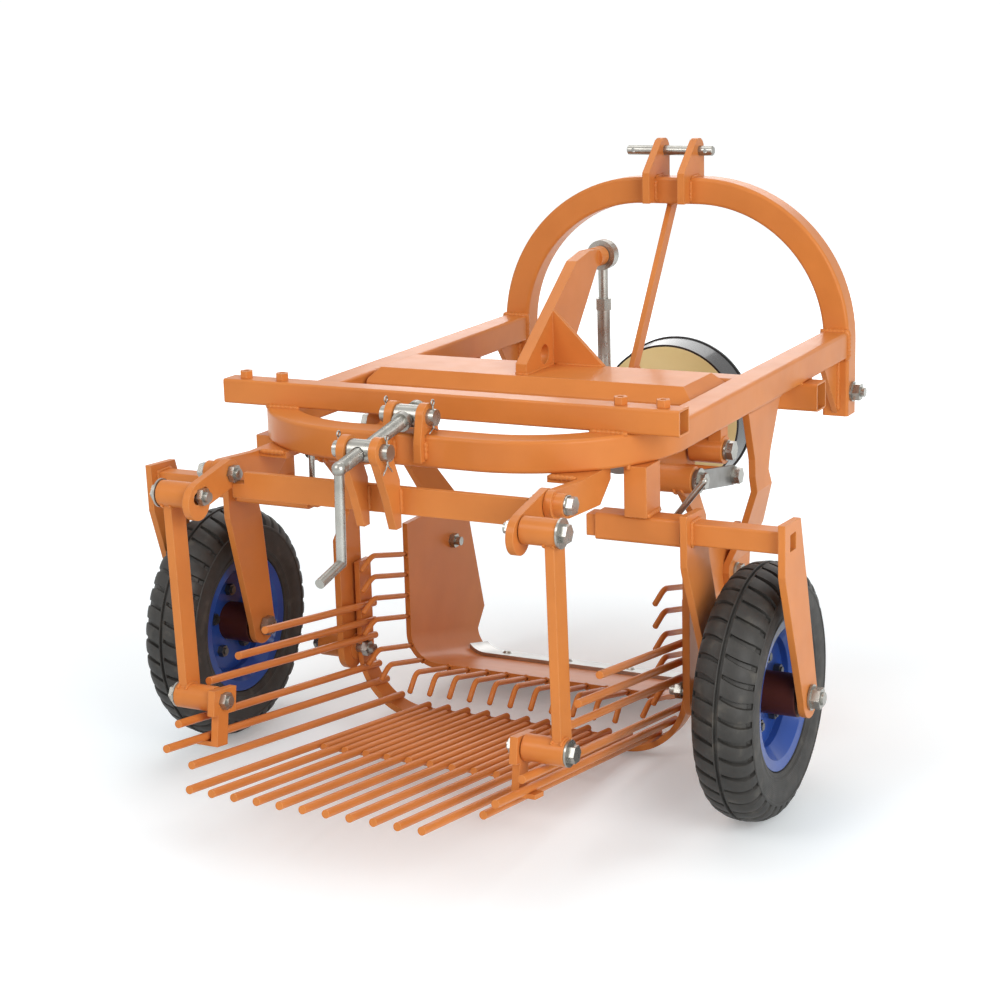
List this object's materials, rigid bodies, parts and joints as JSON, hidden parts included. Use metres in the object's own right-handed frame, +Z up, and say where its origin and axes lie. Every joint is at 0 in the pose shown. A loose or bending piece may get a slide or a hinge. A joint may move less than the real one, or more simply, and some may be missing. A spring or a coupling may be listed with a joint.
{
  "type": "potato digger",
  "caption": "Tractor-mounted potato digger: three-point hoop headstock, lifting share with fingers, rocker-shaken rod sieve, screw depth adjuster and two support wheels.",
  "frame": {"origin": "on the ground under the middle of the machine's outer box", "axes": "+X to the right seen from behind, +Y forward to the tractor, +Z up"},
  "size_m": [1.176, 1.473, 0.961],
  "materials": {
    "orange_paint": "gloss powder coat",
    "zinc_steel": "zinc plated",
    "bare_steel": "bare rolled steel",
    "black_plastic": "glossy black",
    "cream_paint": "smooth cream yellow",
    "blue_paint": "satin blue paint",
    "brown_paint": "dark red-brown primer",
    "tyre_rubber": "black tread rubber"
  },
  "bodies": {
    "frame": {"main_frame": "orange_paint", "headstock_hoop": "orange_paint", "rear_crossbar": "orange_paint", "crossbar_nuts": "orange_paint", "mid_crossbar": "orange_paint", "hoop_gussets": "orange_paint", "top_link_lugs": "orange_paint", "mast_brace": "orange_paint", "hitch_pins": "zinc_steel", "share_body": "orange_paint", "share_blade": "bare_steel", "share_fingers": "orange_paint", "share_legs": "orange_paint", "share_bolts": "zinc_steel", "rocker_bearings": "orange_paint", "drive_housing": "orange_paint", "drive_bearings": "bare_steel", "guard_face": "cream_paint", "pto_guard": "black_plastic", "wheel_sockets": "orange_paint", "adjuster_brackets": "orange_paint", "adjuster_pivots": "zinc_steel", "screw_lugs": "orange_paint"},
    "top_pin": {"top_link_pin": "zinc_steel"},
    "drive": {"pto_shaft": "bare_steel", "crank_disc": "bare_steel"},
    "rocker": {"rocker_beam": "orange_paint", "rocker_lever": "orange_paint", "rocker_arms": "orange_paint", "rocker_shafts": "zinc_steel", "hangers": "orange_paint", "hanger_cheeks": "bare_steel", "rocker_bolts": "zinc_steel"},
    "rod": {"connecting_rod": "zinc_steel"},
    "front_bolts": {"sieve_front_bolts": "zinc_steel"},
    "sieve": {"sieve_bar": "orange_paint", "sieve_rods": "orange_paint", "sieve_short_rods": "orange_paint", "sieve_straps": "orange_paint", "sieve_clamps": "orange_paint", "sieve_rear_bolts": "zinc_steel"},
    "adjuster": {"adjuster_arms": "orange_paint", "adjuster_crossbar": "orange_paint"},
    "link_bolts": {"rear_link_bolts": "zinc_steel"},
    "links": {"rear_links": "orange_paint"},
    "screw_nut": {"rear_trunnion": "zinc_steel"},
    "screw_seat": {"front_trunnion": "zinc_steel"},
    "screw": {"hand_screw": "zinc_steel"},
    "wheel_arm_right": {"wheel_fork_right": "orange_paint", "axle_right": "zinc_steel"},
    "wheel_right": {"wheel_hub_right": "brown_paint", "wheel_rim_right": "blue_paint", "rim_bolts_right": "zinc_steel", "tyre_right": "tyre_rubber"},
    "wheel_arm_left": {"wheel_fork_left": "orange_paint", "axle_left": "zinc_steel"},
    "wheel_left": {"wheel_hub_left": "brown_paint", "wheel_rim_left": "blue_paint", "rim_bolts_left": "zinc_steel", "tyre_left": "tyre_rubber"}
  },
  "joints": [
    {"name": "rocker_swing", "type": "hinge", "parent": "frame", "child": "rocker", "pos_m": [0, 0.07747, 0.51], "axis": [1, 0, 0], "range_deg": [-3, 3]},
    {"name": "rod_swing", "type": "hinge", "parent": "rocker", "child": "rod", "pos_m": [-0.016, 0.38147, 0.779], "axis": [1, 0, 0], "range_deg": [-0.73, 0.73]},
    {"name": "sieve_hang", "type": "hinge", "parent": "rocker", "child": "front_bolts", "pos_m": [0, -0.03753, 0.128], "axis": [1, 0, 0], "range_deg": [-3.83, 3.83]},
    {"name": "sieve_tilt", "type": "hinge", "parent": "front_bolts", "child": "sieve", "pos_m": [0, -0.03753, 0.128], "axis": [1, 0, 0], "range_deg": [-0.68, 0.68]},
    {"name": "drive_spin", "type": "hinge", "parent": "frame", "child": "drive", "pos_m": [0, 0.57247, 0.425], "axis": [0, 1, 0], "continuous": true},
    {"name": "top_pin_slide", "type": "slide", "parent": "frame", "child": "top_pin", "axis": [1, 0, 0], "range_m": [0, 0.19]},
    {"name": "screw_seat_swivel", "type": "hinge", "parent": "frame", "child": "screw_seat", "pos_m": [0, -0.38153, 0.636], "axis": [1, 0, 0], "range_deg": [-0.95, 0.95]},
    {"name": "screw_turn", "type": "hinge", "parent": "screw_seat", "child": "screw", "pos_m": [0, -0.38153, 0.636], "axis": [0, 0.986, 0.1667], "range_deg": [-450, 450]},
    {"name": "adjuster_tilt", "type": "hinge", "parent": "frame", "child": "adjuster", "pos_m": [0, -0.47853, 0.547], "axis": [1, 0, 0], "range_deg": [-4.08, 4.08]},
    {"name": "screw_nut_swivel", "type": "hinge", "parent": "adjuster", "child": "screw_nut", "pos_m": [0, -0.52353, 0.612], "axis": [1, 0, 0], "range_deg": [-3.13, 3.13]},
    {"name": "link_bolt_turn", "type": "hinge", "parent": "adjuster", "child": "link_bolts", "pos_m": [0, -0.56253, 0.53], "axis": [1, 0, 0], "range_deg": [-4.46, 4.46]},
    {"name": "link_swing", "type": "hinge", "parent": "link_bolts", "child": "links", "pos_m": [0, -0.56253, 0.53], "axis": [1, 0, 0], "range_deg": [-3.78, 3.78]},
    {"name": "wheel_arm_slide_right", "type": "slide", "parent": "frame", "child": "wheel_arm_right", "axis": [1, 0, 0], "range_m": [0, 0.08]},
    {"name": "wheel_spin_right", "type": "hinge", "parent": "wheel_arm_right", "child": "wheel_right", "pos_m": [0.487, -0.18303, 0.2], "axis": [1, 0, 0], "continuous": true},
    {"name": "wheel_arm_slide_left", "type": "slide", "parent": "frame", "child": "wheel_arm_left", "axis": [-1, 0, 0], "range_m": [0, 0.08]},
    {"name": "wheel_spin_left", "type": "hinge", "parent": "wheel_arm_left", "child": "wheel_left", "pos_m": [-0.487, -0.18303, 0.2], "axis": [1, 0, 0], "continuous": true}
  ],
  "couplings": [
    {"joint": "rod_swing", "follows": "rocker_swing", "ratio": -0.24011},
    {"joint": "sieve_hang", "follows": "rocker_swing", "ratio": -1.2531},
    {"joint": "link_swing", "follows": "rocker_swing", "ratio": 1.2353},
    {"joint": "sieve_tilt", "follows": "screw_turn", "ratio": 0.0014751},
    {"joint": "screw_seat_swivel", "follows": "screw_turn", "ratio": 0.0020709},
    {"joint": "adjuster_tilt", "follows": "screw_turn", "ratio": 0.0088925},
    {"joint": "screw_nut_swivel", "follows": "screw_turn", "ratio": -0.0068216},
    {"joint": "link_bolt_turn", "follows": "screw_turn", "ratio": -0.0097072}
  ]
}
